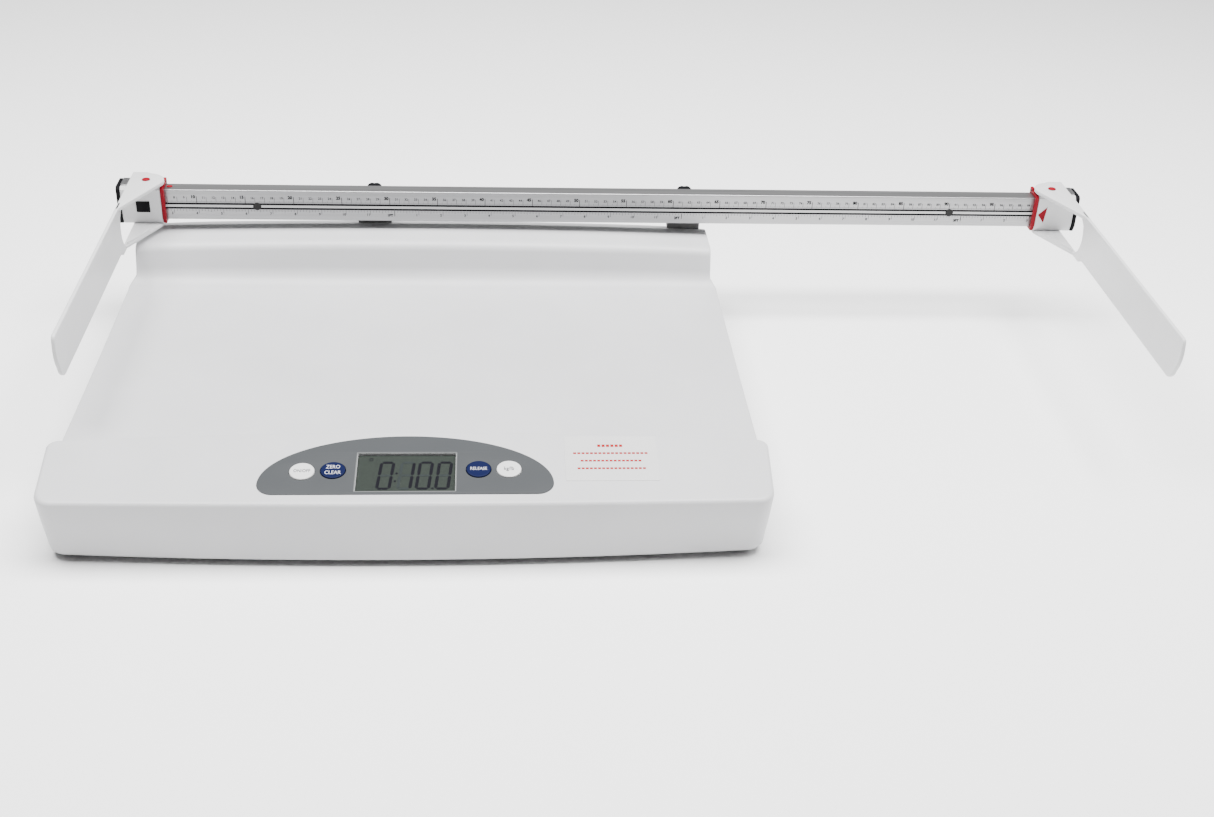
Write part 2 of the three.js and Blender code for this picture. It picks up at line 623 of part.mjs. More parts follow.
// ---------- assembly ----------
add('base_shell', buildBase(), WHITE);
add('console_cover', buildConsole(), WHITE);
addDisplay();
const LABEL = { x: 170, y: 55.5, w: 80, h: 59 };
add('notice_label', box(LABEL.x - LABEL.w / 2, LABEL.x + LABEL.w / 2, LABEL.y - LABEL.h / 2,
  LABEL.y + LABEL.h / 2, GAP, GAP + 0.4), matte(0xf4f4f2, 0.4), deck);
addBatteries();
add('power_jack', rod('y', 4, BASE.back - 9, BASE.back + 1, JACK.x, JACK.z, 16)
  .subtract(rod('y', 2, BASE.back - 6, BASE.back + 3, JACK.x, JACK.z, 12)), BLACK);
addWeighing();
addFeet();
add('tray', buildTray(), WHITE);
addRod();
MOUNTS.forEach((x, i) => addRodMount(i ? 'right' : 'left', x));
add('index_mark', box(-462, -454, ROD.face + 4, ROD.face + 12, ROD_TOP + GAP, ROD_TOP + 0.8), RED);
addHead('left', -1);
addHead('right', 1);
scale.position.y = CENTRE_SHIFT;

export default scale;
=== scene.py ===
"""Looks of the digital infant tray scale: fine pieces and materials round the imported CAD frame.

Shapes are worked out in millimetres, in the frame's own axes, and scaled to metres when a mesh is made.
"""
import json
import math

import bmesh
import bpy
from mathutils import Matrix, Vector


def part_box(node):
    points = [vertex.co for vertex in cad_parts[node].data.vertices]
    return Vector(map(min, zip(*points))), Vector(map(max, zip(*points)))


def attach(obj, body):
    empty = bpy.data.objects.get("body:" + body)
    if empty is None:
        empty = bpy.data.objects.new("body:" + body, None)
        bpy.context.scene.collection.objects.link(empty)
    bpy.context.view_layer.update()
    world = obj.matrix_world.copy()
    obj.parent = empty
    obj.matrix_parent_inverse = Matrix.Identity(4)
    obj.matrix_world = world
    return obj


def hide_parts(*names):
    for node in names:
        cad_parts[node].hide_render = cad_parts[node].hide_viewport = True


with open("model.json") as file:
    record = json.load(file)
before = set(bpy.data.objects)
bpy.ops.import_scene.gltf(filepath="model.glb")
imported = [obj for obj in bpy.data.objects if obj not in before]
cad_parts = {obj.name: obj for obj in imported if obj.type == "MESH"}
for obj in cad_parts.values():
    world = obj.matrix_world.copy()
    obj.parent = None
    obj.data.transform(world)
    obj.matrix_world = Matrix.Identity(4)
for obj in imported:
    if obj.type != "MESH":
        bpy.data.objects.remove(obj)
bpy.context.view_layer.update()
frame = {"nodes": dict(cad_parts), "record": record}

MM = 0.001
FIXED = "scale_frame"                       # the body that stands on the table
GAP = 0.3                                   # clearance between touching pieces


def span(node):
    """Lowest and highest corner of a CAD node, in millimetres."""
    low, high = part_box(node)
    return low / MM, high / MM


ROD_LOW, ROD_HIGH = span("rod_profile")
TRAY_LOW, TRAY_HIGH = span("tray")
CASE_LOW, CASE_HIGH = span("console_cover")
PIN_LOW, PIN_HIGH = span("hinge_pin_right")
PIN_X = (PIN_LOW.x + PIN_HIGH.x) / 2        # the hinge pins stand at -PIN_X and +PIN_X
PIN_Y = (PIN_LOW.y + PIN_HIGH.y) / 2
FACE = ROD_LOW.y                            # front face of the rod
GROOVE = ROD_LOW.z + 17.9                   # upper of the two grooves in that face
CENTRE = (TRAY_LOW.x + TRAY_HIGH.x) / 2     # centre plane of tray and console
DECK_SLOPE = math.radians(7.3)
DECK_FRONT = 63.0                           # height of the deck along its front edge
CASE = {
    "half": 305.0, "front": CASE_LOW.y + 3, "back": CASE_HIGH.y - 10.5,
    "crown": 10.5, "bow": 3.0,              # how far the rear and front edges arch out in the middle
    "draft": 7.0, "splay": 4.5, "rim": 3.5, "skin": 2.6,
}
DECK = Matrix.Translation((CENTRE, CASE["front"], DECK_FRONT)) @ Matrix.Rotation(DECK_SLOPE, 4, "X")
FRONTAL = Matrix.Rotation(math.pi / 2, 4, "X")          # drawing plane stood up, facing the user
ALONG_X = Matrix(((0, 0, 1, 0), (1, 0, 0, 0), (0, 1, 0, 0), (0, 0, 0, 1)))   # [y, z] outline run along X
ALONG_Y = Matrix(((1, 0, 0, 0), (0, 0, 1, 0), (0, 1, 0, 0), (0, 0, 0, 1)))   # [x, z] outline run along Y

# deck features: distance right of the centre plane and distance up the sloping deck
WINDOW = {"x": -4.5, "y": 38.0, "w": 85.0, "h": 51.0}
PANEL = {"x": -3.8, "low": 9.3, "high": 85.3, "half": 123.5}
BUTTONS = {
    "button_power": (-91.3, 38.6, "key_power", ("ON/OFF",)),
    "button_zero": (-65.6, 39.8, "key_zero", ("ZERO", "CLEAR")),
    "button_release": (56.4, 40.8, "key_release", ("RELEASE",)),
    "button_units": (82.1, 40.8, "key_units", ("kg/lb",)),
}
BUTTON_R = 10.5


# ---------------------------------------------------------------- materials
def node_material(name, colour, roughness, metallic=0.0):
    material = bpy.data.materials.new(name)
    material.use_nodes = True
    shader = material.node_tree.nodes["Principled BSDF"]
    shader.inputs["Base Color"].default_value = (*colour, 1)
    shader.inputs["Roughness"].default_value = roughness
    shader.inputs["Metallic"].default_value = metallic
    return material, shader


def noise_node(material, scale, stretch=(1, 1, 1), detail=4.0):
    """Noise laid in the object's own space, `scale` features to the metre."""
    tree = material.node_tree
    place = tree.nodes.new("ShaderNodeTexCoord")
    mapping = tree.nodes.new("ShaderNodeMapping")
    mapping.inputs["Scale"].default_value = stretch
    noise = tree.nodes.new("ShaderNodeTexNoise")
    noise.inputs["Scale"].default_value = scale
    noise.inputs["Detail"].default_value = detail
    tree.links.new(place.outputs["Object"], mapping.inputs["Vector"])
    tree.links.new(mapping.outputs["Vector"], noise.inputs["Vector"])
    return noise


def vary_colour(material, shader, noise, dark, light):
    tree = material.node_tree
    ramp = tree.nodes.new("ShaderNodeValToRGB")
    ramp.color_ramp.elements[0].position = 0.35
    ramp.color_ramp.elements[0].color = (*dark, 1)
    ramp.color_ramp.elements[1].position = 0.65
    ramp.color_ramp.elements[1].color = (*light, 1)
    tree.links.new(noise.outputs["Fac"], ramp.inputs["Fac"])
    tree.links.new(ramp.outputs["Color"], shader.inputs["Base Color"])


def vary_roughness(material, shader, noise, low, high):
    tree = material.node_tree
    spread = tree.nodes.new("ShaderNodeMapRange")
    spread.inputs["To Min"].default_value = low
    spread.inputs["To Max"].default_value = high
    tree.links.new(noise.outputs["Fac"], spread.inputs["Value"])
    tree.links.new(spread.outputs["Result"], shader.inputs["Roughness"])


def bump(material, shader, noise, strength, depth):
    tree = material.node_tree
    node = tree.nodes.new("ShaderNodeBump")
    node.inputs["Strength"].default_value = strength
    node.inputs["Distance"].default_value = depth
    tree.links.new(noise.outputs["Fac"], node.inputs["Height"])
    tree.links.new(node.outputs["Normal"], shader.inputs["Normal"])


def shade(colour, factor):
    return tuple(min(1.0, c * factor) for c in colour)


def plastic(name, colour, roughness, grain=900, relief=0.12, mottling=0.02, coat=0.0, gloss=0.4):
    """Moulded plastic: fine spark-erosion grain, faint clouding of colour, uneven sheen."""
    material, shader = node_material(name, colour, roughness)
    vary_colour(material, shader, noise_node(material, 14, detail=2),
                shade(colour, 1 - mottling), shade(colour, 1 + mottling))
    vary_roughness(material, shader, noise_node(material, 45), roughness - 0.05, roughness + 0.06)
    bump(material, shader, noise_node(material, grain, detail=3), relief, 0.00008)
    shader.inputs["Specular IOR Level"].default_value = gloss
    shader.inputs["Coat Weight"].default_value = coat
    shader.inputs["Coat Roughness"].default_value = 0.2
    return material


def brushed(name, colour, roughness, stretch, metallic=1.0):
    """Drawn or brushed metal, its grain stretched along one axis."""
    material, shader = node_material(name, colour, roughness, metallic)
    lines = noise_node(material, 60, stretch, detail=6)
    vary_colour(material, shader, lines, shade(colour, 0.93), shade(colour, 1.05))
    vary_roughness(material, shader, lines, roughness - 0.06, roughness + 0.1)
    bump(material, shader, lines, 0.06, 0.00005)
    return material


def rubber(name, colour):
    material, shader = node_material(name, colour, 0.85)
    grain = noise_node(material, 1600)
    vary_colour(material, shader, grain, shade(colour, 0.8), shade(colour, 1.3))
    bump(material, shader, grain, 0.35, 0.0001)
    return material


def clear_window(name):
    """Clear sheet: almost see-through, with a faint sheen of its own."""
    material, shader = node_material(name, (0.02, 0.02, 0.02), 0.08)
    shader.inputs["Alpha"].default_value = 0.1
    vary_roughness(material, shader, noise_node(material, 30), 0.05, 0.12)
    return material


def liquid_crystal(name):
    """Grey-green display glass with a faint, fine unevenness."""
    material, shader = node_material(name, (0.036, 0.044, 0.038), 0.5)
    cells = noise_node(material, 500, detail=1)
    vary_colour(material, shader, cells, (0.029, 0.036, 0.031), (0.034, 0.042, 0.036))
    vary_roughness(material, shader, noise_node(material, 20), 0.45, 0.55)
    shader.inputs["Specular IOR Level"].default_value = 0.03
    return material


def printed(name, colour, roughness=0.5):
    material, shader = node_material(name, colour, roughness)
    vary_colour(material, shader, noise_node(material, 700), shade(colour, 0.85), shade(colour, 1.1))
    vary_roughness(material, shader, noise_node(material, 300), roughness - 0.08, roughness + 0.08)
    shader.inputs["Specular IOR Level"].default_value = 0.04
    return material


WHITE = (0.53, 0.53, 0.54)
M = {
    "shell": plastic("shell_plastic", WHITE, 0.38),
    "tray": plastic("tray_plastic", WHITE, 0.38, grain=500, relief=0.08),
    "head": plastic("head_plastic", (0.58, 0.58, 0.585), 0.34),
    "overlay": plastic("overlay_film", (0.052, 0.055, 0.058), 0.5, grain=2200, relief=0.2, gloss=0.08),
    "key_white": plastic("key_white_plastic", (0.62, 0.62, 0.62), 0.4),
    "key_blue": plastic("key_blue_plastic", (0.004, 0.007, 0.036), 0.45, gloss=0.06),
    "red": plastic("red_plastic", (0.2, 0.003, 0.011), 0.45, gloss=0.1),
    "black": plastic("black_plastic", (0.005, 0.005, 0.006), 0.55, gloss=0.06),
    "rubber": rubber("black_rubber", (0.008, 0.008, 0.008)),
    "rod": brushed("anodised_rod", (0.36, 0.36, 0.365), 0.36, (0.04, 6, 6), metallic=0.9),
    "strip": brushed("bright_strip", (0.5, 0.5, 0.5), 0.4, (0.04, 6, 6), metallic=0.3),
    "cell": brushed("milled_aluminium", (0.66, 0.66, 0.67), 0.35, (4, 0.3, 4)),
    "steel": brushed("plated_steel", (0.52, 0.53, 0.54), 0.32, (3, 3, 0.5)),
    "bracket": plastic("bracket_paint", (0.14, 0.14, 0.14), 0.5, grain=1400, relief=0.25, gloss=0.2),
    "grip": brushed("silver_grip", (0.55, 0.55, 0.56), 0.36, (5, 0.2, 5)),
    "window": clear_window("window_clear"),
    "lcd": liquid_crystal("lcd_glass"),
    "segment": printed("lcd_segment", (0.006, 0.006, 0.01), 0.5),
    "ghost": printed("lcd_ghost", (0.029, 0.036, 0.036), 0.5),
    "ink": printed("black_ink", (0.008, 0.008, 0.008)),
    "thin_ink": printed("thin_ink", (0.015, 0.015, 0.016)),
    "white_ink": printed("white_ink", (0.5, 0.5, 0.55)),
    "dark_ink": printed("dark_ink", (0.01, 0.01, 0.02)),
    "red_ink": printed("red_ink", (0.3, 0.01, 0.01)),
    "label": plastic("label_film", (0.56, 0.56, 0.56), 0.4, grain=1800, relief=0.05),
    "rim": plastic("window_rim_plastic", (0.13, 0.135, 0.135), 0.5, gloss=0.1),
    "board": plastic("board_mask", (0.02, 0.09, 0.04), 0.4),
    "battery": plastic("battery_sleeve", (0.03, 0.06, 0.13), 0.3, coat=0.4),
}


# ---------------------------------------------------------------- mesh making
def solid_object(name, points, faces):
    """Object in the scene from millimetre points, with merged points and outward faces."""
    mesh = bpy.data.meshes.new(name)
    mesh.from_pydata([Vector(p) * MM for p in points], [], faces)
    tidy = bmesh.new()
    tidy.from_mesh(mesh)
    bmesh.ops.remove_doubles(tidy, verts=tidy.verts, dist=1e-6)
    bmesh.ops.recalc_face_normals(tidy, faces=tidy.faces)
    tidy.to_mesh(mesh)
    tidy.free()
    solid = bpy.data.objects.new(name, mesh)
    bpy.context.scene.collection.objects.link(solid)
    return solid


def mesh_piece(name, body, slot, material, points, faces, sharp=40, replaces=()):
    """Piece that rides on a body, takes a material and may stand for CAD nodes."""
    piece = solid_object(name, points, faces)
    mesh = piece.data
    mesh.polygons.foreach_set("use_smooth", [True] * len(mesh.polygons))
    mesh.set_sharp_from_angle(angle=math.radians(sharp))
    mesh.materials.append(M[material])
    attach(piece, body)
    if replaces:
        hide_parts(*replaces)
    return piece


def baked_mesh(curve):
    """Mesh data of a curve or text, then both are removed."""
    carrier = bpy.data.objects.new("carrier", curve)
    bpy.context.scene.collection.objects.link(carrier)
    shape = bpy.data.meshes.new_from_object(carrier.evaluated_get(bpy.context.evaluated_depsgraph_get()))
    points = [tuple(v.co) for v in shape.vertices]
    faces = [tuple(p.vertices) for p in shape.polygons]
    bpy.data.objects.remove(carrier)
    bpy.data.meshes.remove(shape)
    return points, faces


def plate_shape(loops, low, high, edge, place=Matrix.Identity(4), steps=2):
    """Points and faces of a flat solid with softened edges: outline first, then its holes."""
    curve = bpy.data.curves.new("plate", "CURVE")
    curve.dimensions = "2D"
    curve.fill_mode = "BOTH"
    curve.extrude = (high - low) / 2 - edge
    curve.bevel_depth = edge
    curve.bevel_resolution = steps
    curve.offset = -edge
    for loop in loops:
        spline = curve.splines.new("POLY")
        spline.points.add(len(loop) - 1)
        for point, (x, y) in zip(spline.points, loop):
            point.co = (x, y, 0, 1)
        spline.use_cyclic_u = True
    points, faces = baked_mesh(curve)
    lift = place @ Matrix.Translation((0, 0, (low + high) / 2))
    return [lift @ Vector(p) for p in points], faces


def plate(name, body, slot, material, loops, low, high, edge=0.3, place=Matrix.Identity(4), replaces=()):
    shape = plate_shape(loops, low, high, edge, place)
    return mesh_piece(name, body, slot, material, *shape, replaces=replaces)


def joined(*shapes):
    """Several (points, faces) shapes as one."""
    points, faces = [], []
    for more_points, more_faces in shapes:
        start = len(points)
        points.extend(more_points)
        faces.extend(tuple(i + start for i in f) for f in more_faces)
    return points, faces


def block(low, high):
    """Eight-cornered bar, used where many fine marks are gathered in one piece."""
    (a, b, c), (d, e, f) = low, high
    points = [(a, b, c), (d, b, c), (d, e, c), (a, e, c), (a, b, f), (d, b, f), (d, e, f), (a, e, f)]
    return points, [(3, 2, 1, 0), (4, 5, 6, 7), (0, 1, 5, 4), (1, 2, 6, 5), (2, 3, 7, 6), (3, 0, 4, 7)]


glyphs = {}


def lettering(text, size, thick=0.08, weight=0.0):
    """Flat text of a cap height of about 0.7 size, centred on the origin."""
    key = (text, size, weight)
    if key not in glyphs:
        curve = bpy.data.curves.new("glyph", "FONT")
        curve.body = text
        curve.size = size
        curve.extrude = thick / 2
        curve.offset = weight
        curve.resolution_u = 3
        curve.align_x = "CENTER"
        curve.align_y = "CENTER"
        glyphs[key] = baked_mesh(curve)
    return glyphs[key]


def stretched(shape, tall):
    points, faces = shape
    return [(x, y * tall, z) for x, y, z in points], faces


def placed(shape, place):
    """Shape moved by a matrix."""
    points, faces = shape
    return [place @ Vector(p) for p in points], faces


def arc(cx, cy, r, start, end, steps):
    turn = [math.radians(start + (end - start) * i / steps) for i in range(steps + 1)]
    return [(cx + r * math.cos(a), cy + r * math.sin(a)) for a in turn]


def disc(cx, cy, r, steps=48):
    return arc(cx, cy, r, 0, 360, steps)[:-1]


def rounded_box(x0, x1, y0, y1, r, steps=6):
    return (arc(x1 - r, y0 + r, r, -90, 0, steps) + arc(x1 - r, y1 - r, r, 0, 90, steps)
            + arc(x0 + r, y1 - r, r, 90, 180, steps) + arc(x0 + r, y0 + r, r, 180, 270, steps))


def lathe_shape(profile, steps=48):
    """Turned solid from [radius, height] points, axis along z, closed at both ends on the axis."""
    points = [(r * math.cos(2 * math.pi * i / steps), r * math.sin(2 * math.pi * i / steps), z)
              for r, z in profile for i in range(steps)]
    faces = []
    for k in range(len(profile) - 1):
        for i in range(steps):
            j = (i + 1) % steps
            faces.append((k * steps + i, k * steps + j, (k + 1) * steps + j, (k + 1) * steps + i))
    top = (len(profile) - 1) * steps
    faces.append(tuple(range(steps - 1, -1, -1)))
    faces.append(tuple(range(top, top + steps)))
    return points, faces


def ring_solid(rings):
    """Closed solid through rings with equal point counts, with a flat cap at each end."""
    n = len(rings[0])
    points = [p for ring in rings for p in ring]
    faces = []
    for k in range(len(rings) - 1):
        for i in range(n):
            j = (i + 1) % n
            faces.append((k * n + i, k * n + j, (k + 1) * n + j, (k + 1) * n + i))
    faces.append(tuple(range(n - 1, -1, -1)))
    faces.append(tuple(range((len(rings) - 1) * n, len(rings) * n)))
    return points, faces


# ---------------------------------------------------------------- console
def deck_z(y):
    return DECK_FRONT + (y - CASE["front"]) * math.tan(DECK_SLOPE)


def case_ring(inset, half, bow, height, corner=8, side=28):
    """Plan outline of the console, drawn in by `inset`; height(y) gives each point's z."""
    front_r, back_r = 14.0, 9.0
    w = half - inset
    y0, y1 = CASE["front"] + inset, CASE["back"] - inset
    ring = []
    reach = w - front_r
    for i in range(side + 1):
        x = -reach + 2 * reach * i / side
        ring.append((x, y0 - bow * (1 - (x / reach) ** 2)))
    ring += arc(w - front_r, y0 + front_r, front_r, -90, 0, corner)[1:]
    back = w - back_r
    ring += arc(back, y1 - back_r, back_r, 0, 90, corner)[:-1]
    for i in range(side + 1):
        x = back - 2 * back * i / side
        ring.append((x, y1 + CASE["crown"] * (1 - (x / back) ** 2)))
    ring += arc(-back, y1 - back_r, back_r, 90, 180, corner)[1:]
    ring += arc(-w + front_r, y0 + front_r, front_r, 180, 270, corner)[:-1]
    spread = CASE["splay"] / half / (y1 - y0)
    return [(x * (1 + spread * (y - y0)) + CENTRE, y, height(y)) for x, y in ring]


def case_solid(shrink, low):
    """Console body: walls with draft, a rounded rim and a deck that slopes up to the back."""
    half, bow = CASE["half"], CASE["bow"]

    def wall(f, inset, z):
        lean = 1 - f
        outset = CASE["draft"] * lean + inset + shrink
        return case_ring(outset, half + 2.5 * lean, bow + 8 * lean, lambda y: z)

    def level(below, inset):
        return case_ring(inset + shrink, half, bow, lambda y: deck_z(y) - shrink - below)

    rings = [wall(0, 3, low), wall(0.02, 1, low + 1), wall(0.06, 0, low + 3.5)]
    rings += [wall(f, 0, z) for f, z in ((0.25, 18), (0.45, 28), (0.65, 38))]
    rim = CASE["rim"]
    for i in range(9):
        a = math.pi / 2 * i / 8
        rings.append(level(rim - rim * math.sin(a), rim - rim * math.cos(a)))
    return ring_solid(rings)


def cut(piece, shape):
    """Takes a solid away from a piece for good."""
    cutter = solid_object("cutter", *shape)
    modifier = piece.modifiers.new("cut", "BOOLEAN")
    modifier.operation = "DIFFERENCE"
    modifier.solver = "EXACT"
    modifier.object = cutter
    shaped = bpy.data.meshes.new_from_object(piece.evaluated_get(bpy.context.evaluated_depsgraph_get()))
    piece.modifiers.clear()
    piece.data = shaped
    bpy.data.objects.remove(cutter)


def make_console():
    case = mesh_piece("console_shell", FIXED, "white_shell", "shell", *case_solid(0, 5.5),
                      replaces=("console_cover",))
    cut(case, case_solid(CASE["skin"], 3.0))
    below, above = -9, 6                    # the openings are cut right through the deck's skin
    hole_r = BUTTON_R + 0.8
    for x, y, _, _ in BUTTONS.values():
        hole = lathe_shape([(hole_r, below), (hole_r, above)])
        cut(case, placed(hole, DECK @ Matrix.Translation((x, y, 0))))
    half_w, half_h = WINDOW["w"] / 2 - 1, WINDOW["h"] / 2 - 1
    low = (WINDOW["x"] - half_w, WINDOW["y"] - half_h, below)
    high = (WINDOW["x"] + half_w, WINDOW["y"] + half_h, above)
    cut(case, placed(block(low, high), DECK))
    case.data.set_sharp_from_angle(angle=math.radians(35))


def panel_outline():
    """Half ellipse standing on a strip with two rounded lower corners."""
    w, r = PANEL["half"], 14
    waist = PANEL["low"] + r
    rise = PANEL["high"] - waist
    turns = [math.pi * i / 72 for i in range(73)]
    top = [(PANEL["x"] + w * math.cos(a), waist + rise * math.sin(a)) for a in turns]
    left = arc(PANEL["x"] - w + r, waist, r, 180, 270, 12)[1:]
    right = arc(PANEL["x"] + w - r, waist, r, 270, 360, 12)[:-1]
    return top + left + right


def make_overlay():
    x, y, w, h = WINDOW.values()
    holes = [rounded_box(x - w / 2, x + w / 2, y - h / 2, y + h / 2, 1.2)]
    holes += [disc(bx, by, BUTTON_R + 0.45) for bx, by, _, _ in BUTTONS.values()]
    plate("overlay", FIXED, "panel_grey", "overlay", [panel_outline(), *holes], -0.1, 0.5, edge=0.15,
          place=DECK, replaces=("display_panel",))
    rim = [rounded_box(x - dx, x + dx, y - dy, y + dy, r) for dx, dy, r in
           ((w / 2 + 0.1, h / 2 + 0.1, 1.3), (w / 2 - 0.8, h / 2 - 0.8, 0.6))]
    plate("window_rim", FIXED, "panel_grey", "rim", rim, -2.2, 0.65, edge=0.2, place=DECK)


SEGMENTS = {"0": "abcdef", "1": "bc", "8": "abcdefg"}      # which of the seven bars a sign lights


def segment_bars(which, size, x0, y0, slant):
    """Seven-segment sign as flat six-cornered bars, leaning to the right."""
    w, h = size
    t = w * 0.13                            # half the thickness of a bar
    half = h / 2
    gap = 0.3                               # free space at each end of a bar
    lines = {
        "a": ((0, h), (w, h)), "b": ((w, half), (w, h)), "c": ((w, 0), (w, half)), "d": ((0, 0), (w, 0)),
        "e": ((0, 0), (0, half)), "f": ((0, half), (0, h)), "g": ((0, half), (w, half)),
    }
    bars = []
    for key in which:
        (ax, ay), (bx, by) = lines[key]
        if ay == by:
            outline = [(ax + gap, ay), (ax + t + gap, ay + t), (bx - t - gap, ay + t),
                       (bx - gap, ay), (bx - t - gap, ay - t), (ax + t + gap, ay - t)]
        else:
            outline = [(ax, ay + gap), (ax + t, ay + t + gap), (ax + t, by - t - gap),
                       (ax, by - gap), (ax - t, by - t - gap), (ax - t, ay + t + gap)]
        bars.append([(x0 + px + slant * py, y0 + py) for px, py in outline])
    return bars


def display_signs(left, y):
    """Lit and unlit outlines of the reading, from the window's left edge and its mid height."""
    size, low, slant = (10.2, 33.5), y - 18.4, 0.08
    lit, ghost = [], []
    for sign, column in (("0", 18.7), ("1", 36.0), ("0", 51.4), ("0", 67.6)):
        lit += segment_bars(SEGMENTS[sign], size, left + column, low, slant)
        unlit = [bar for bar in SEGMENTS["8"] if bar not in SEGMENTS[sign]]
        ghost += segment_bars(unlit, size, left + column, low, slant)
    lit += [disc(left + dx, low + dy, 1.1, 12) for dx, dy in ((33.4, 9.5), (34.4, 19.5), (65.0, 0.2))]
    frame_high, frame_tall, line = y + 21.0, 3.6, 0.6       # small square sign at the upper left
    for side_x in (left + 10.8, left + 13.2):
        lit.append(rounded_box(side_x, side_x + line, frame_high - frame_tall, frame_high, 0.2, 2))
    for side_y in (frame_high - frame_tall, frame_high - line):
        lit.append(rounded_box(left + 11.4, left + 13.2, side_y, side_y + line, 0.2, 2))
    return lit, ghost


def make_display():
    x, y, w, h = WINDOW.values()
    dx, dy = w / 2 - 0.9, h / 2 - 0.9
    glass = rounded_box(x - dx, x + dx, y - dy, y + dy, 0.5)
    plate("lcd_glass", FIXED, "lcd_green", "lcd", [glass], -4.6, -2.4, edge=0.2, place=DECK,
          replaces=("lcd_module",))
    plate("lcd_window", FIXED, "window_clear", "window", [glass], -1.0, -0.4, edge=0.1, place=DECK,
          replaces=("display_window",))
    lit, ghost = display_signs(x - w / 2, y)
    for name, material, bars in (("lcd_digits", "segment", lit), ("lcd_ghosts", "ghost", ghost)):
        shape = joined(*[plate_shape([bar], -2.42, -2.25, 0.01, DECK, steps=0) for bar in bars])
        mesh_piece(name, FIXED, "lcd_green", material, *shape)


def make_buttons():
    for name, (x, y, body, words) in BUTTONS.items():
        colour = "blue" if name in ("button_zero", "button_release") else "white"
        r, rim, top = BUTTON_R, 0.9, 1.4
        stem_r, stem_foot, cap_foot = 4, -9, -4
        profile = [(stem_r, stem_foot), (stem_r, cap_foot), (r, cap_foot)]
        profile += arc(r - rim, top - rim, rim, 0, 90, 4)
        profile += [(r * f, top - 0.12 * (1 - f * f)) for f in (0.8, 0.6, 0.4, 0.2, 0.05)]
        place = DECK @ Matrix.Translation((x, y, 0))
        cap = placed(lathe_shape(profile), place)
        mesh_piece(name + "_cap", body, "key_" + colour, "key_" + colour, *cap, replaces=(name,))
        rows, row_pitch = [], 7.2
        for i, word in enumerate(words):
            rise = row_pitch * ((len(words) - 1) / 2 - i)
            size = 4.6 if len(word) < 6 else 3.9
            legend = stretched(lettering(word, size, 0.2), 1.4)
            rows.append(placed(legend, place @ Matrix.Translation((0, rise, 1.37))))
        ink = "white_ink" if colour == "blue" else "dark_ink"
        mesh_piece(name + "_legend", body, "key_" + colour, ink, *joined(*rows))


def make_label():
    """Film with rows of plain red dashes in place of lettering."""
    low, high = span("notice_label")
    x0, x1 = low.x - CENTRE, high.x - CENTRE
    y0, y1 = 26.0, 85.0
    outline = rounded_box(x0, x1, y0, y1, 1.5)
    plate("label_film", FIXED, "label_white", "label", [outline], 0.02, 0.3, edge=0.08, place=DECK,
          replaces=("notice_label",))
    rows = ((0.22, 0.3, 1.65), (0.39, 0.86, 1.1), (0.56, 0.7, 1.1), (0.73, 0.78, 1.1))
    bars = []
    for down, share, half_tall in rows:     # way down the label, share of its width, half a dash's height
        half = (x1 - x0) * share / 2 * 0.95
        mid, yc = (x0 + x1) / 2, y1 - (y1 - y0) * down
        dashes = int(share * 22)
        step = 2 * half / dashes
        for i in range(dashes):
            left = mid - half + step * i
            bars.append(block((left, yc - half_tall, 0.28), (left + step * 0.72, yc + half_tall, 0.4)))
    mesh_piece("label_print", FIXED, "label_white", "red_ink", *placed(joined(*bars), DECK))


# ---------------------------------------------------------------- tray
TRAY = {"bed": 55.5, "ledge": 97.6, "thick": 3.0, "waist": 6.0, "drop": 4.8}


def tray_profile():
    """Upper side of the tray from its back skirt over the ledge and down to the bed: [y, z]."""
    back, ledge, bed = TRAY_HIGH.y, TRAY["ledge"], TRAY["bed"]
    roll = back - 50
    points = [(back, 82)]
    points += arc(back - 5, ledge - 5, 5, 0, 90, 8)
    points += [(roll + (back - 5 - roll) * f, ledge) for f in (0.75, 0.5, 0.25)]
    points += arc(roll, ledge - 12, 12, 90, 165, 10)
    points += arc(roll - 39.5, bed + 24, 24, 345, 270, 14)
    flat = roll - 39.5
    front = CASE["back"] + 1.2
    for i in range(1, 25):
        f = i / 24
        points.append((flat + (front - flat) * f, bed - 1.2 * math.sin(math.pi * f)))
    return points


